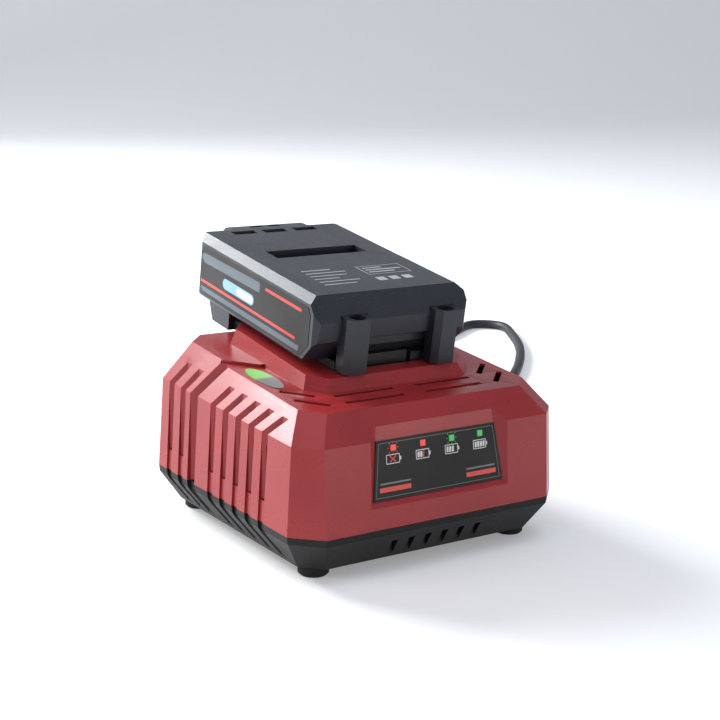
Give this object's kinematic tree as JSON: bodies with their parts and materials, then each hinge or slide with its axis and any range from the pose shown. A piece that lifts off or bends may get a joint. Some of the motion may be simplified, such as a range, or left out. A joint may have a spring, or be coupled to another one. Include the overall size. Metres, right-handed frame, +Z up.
{
  "type": "power tool battery charger",
  "caption": "Desktop charger with a two-part ventilated housing, status label and inclined dock that takes a slide-on battery pack, with the pack, mains cord and plug.",
  "frame": {"origin": "middle of the footprint of the charger, on the surface that its rubber feet stand on", "axes": "+X right along the front, +Y to the back, +Z up"},
  "size_m": [0.4115, 0.3956, 0.1275],
  "materials": {
    "red_plastic": "satin, finely textured",
    "black_plastic": "satin, finely textured",
    "battery_plastic": "satin, dark blue-grey",
    "foot_rubber": "matt",
    "steel": "zinc plated",
    "label_black": "printed sheet",
    "lens_clear": "clear lens",
    "led_white": "moulded",
    "board_green": "solder mask",
    "block_black": "moulded",
    "brass": "plated",
    "ferrite": "ferrite",
    "copper_winding": "taped winding",
    "capacitor_sleeve": "sleeve",
    "heat_sink_aluminium": "extruded",
    "fuse_glass": "ceramic",
    "cell_sleeve": "sleeve",
    "nickel": "bright",
    "battery_label": "printed sheet",
    "green_sticker": "printed sheet",
    "cord_rubber": "matt"
  },
  "bodies": {
    "charger": {"top_cover": "red_plastic", "base_cover": "black_plastic", "rubber_feet": "foot_rubber", "housing_screws": "steel", "label_panel": "label_black", "indicator_lenses": "lens_clear", "indicator_leds": "led_white", "led_board": "board_green", "dock_terminal_block": "block_black", "contact_blades": "brass", "main_pcb": "board_green", "pcb_screws": "steel", "transformer_core": "ferrite", "transformer_winding": "copper_winding", "bulk_capacitor": "capacitor_sleeve", "output_capacitors": "capacitor_sleeve", "heat_sink": "heat_sink_aluminium", "power_transistors": "block_black", "bridge_rectifier": "block_black", "mains_fuse": "fuse_glass", "line_choke": "copper_winding", "round_sticker": "green_sticker", "cord_grommet": "cord_rubber", "cord_run": "cord_rubber", "cord_coil": "cord_rubber", "plug_body": "cord_rubber", "plug_pins": "brass"},
    "battery": {"battery_top_shell": "battery_plastic", "battery_rail_shell": "battery_plastic", "battery_screws": "steel", "battery_cells": "cell_sleeve", "cell_holders": "block_black", "nickel_strips": "nickel", "battery_terminal_block": "block_black", "battery_contacts": "brass", "battery_pcb": "board_green", "side_label_left": "battery_label", "side_label_right": "battery_label"},
    "release": {"release_latch": "battery_plastic", "latch_springs": "steel"}
  },
  "joints": [
    {"name": "battery_slide", "type": "slide", "parent": "charger", "child": "battery", "axis": [0, 0.9899, 0.1416], "range_m": [0, 0.075]},
    {"name": "release_press", "type": "slide", "parent": "battery", "child": "release", "axis": [0, -0.1416, 0.9899], "range_m": [0, 0.0036], "stiffness_N_per_m": 700, "springref_m": -0.001, "deforming": ["latch_springs"]}
  ]
}
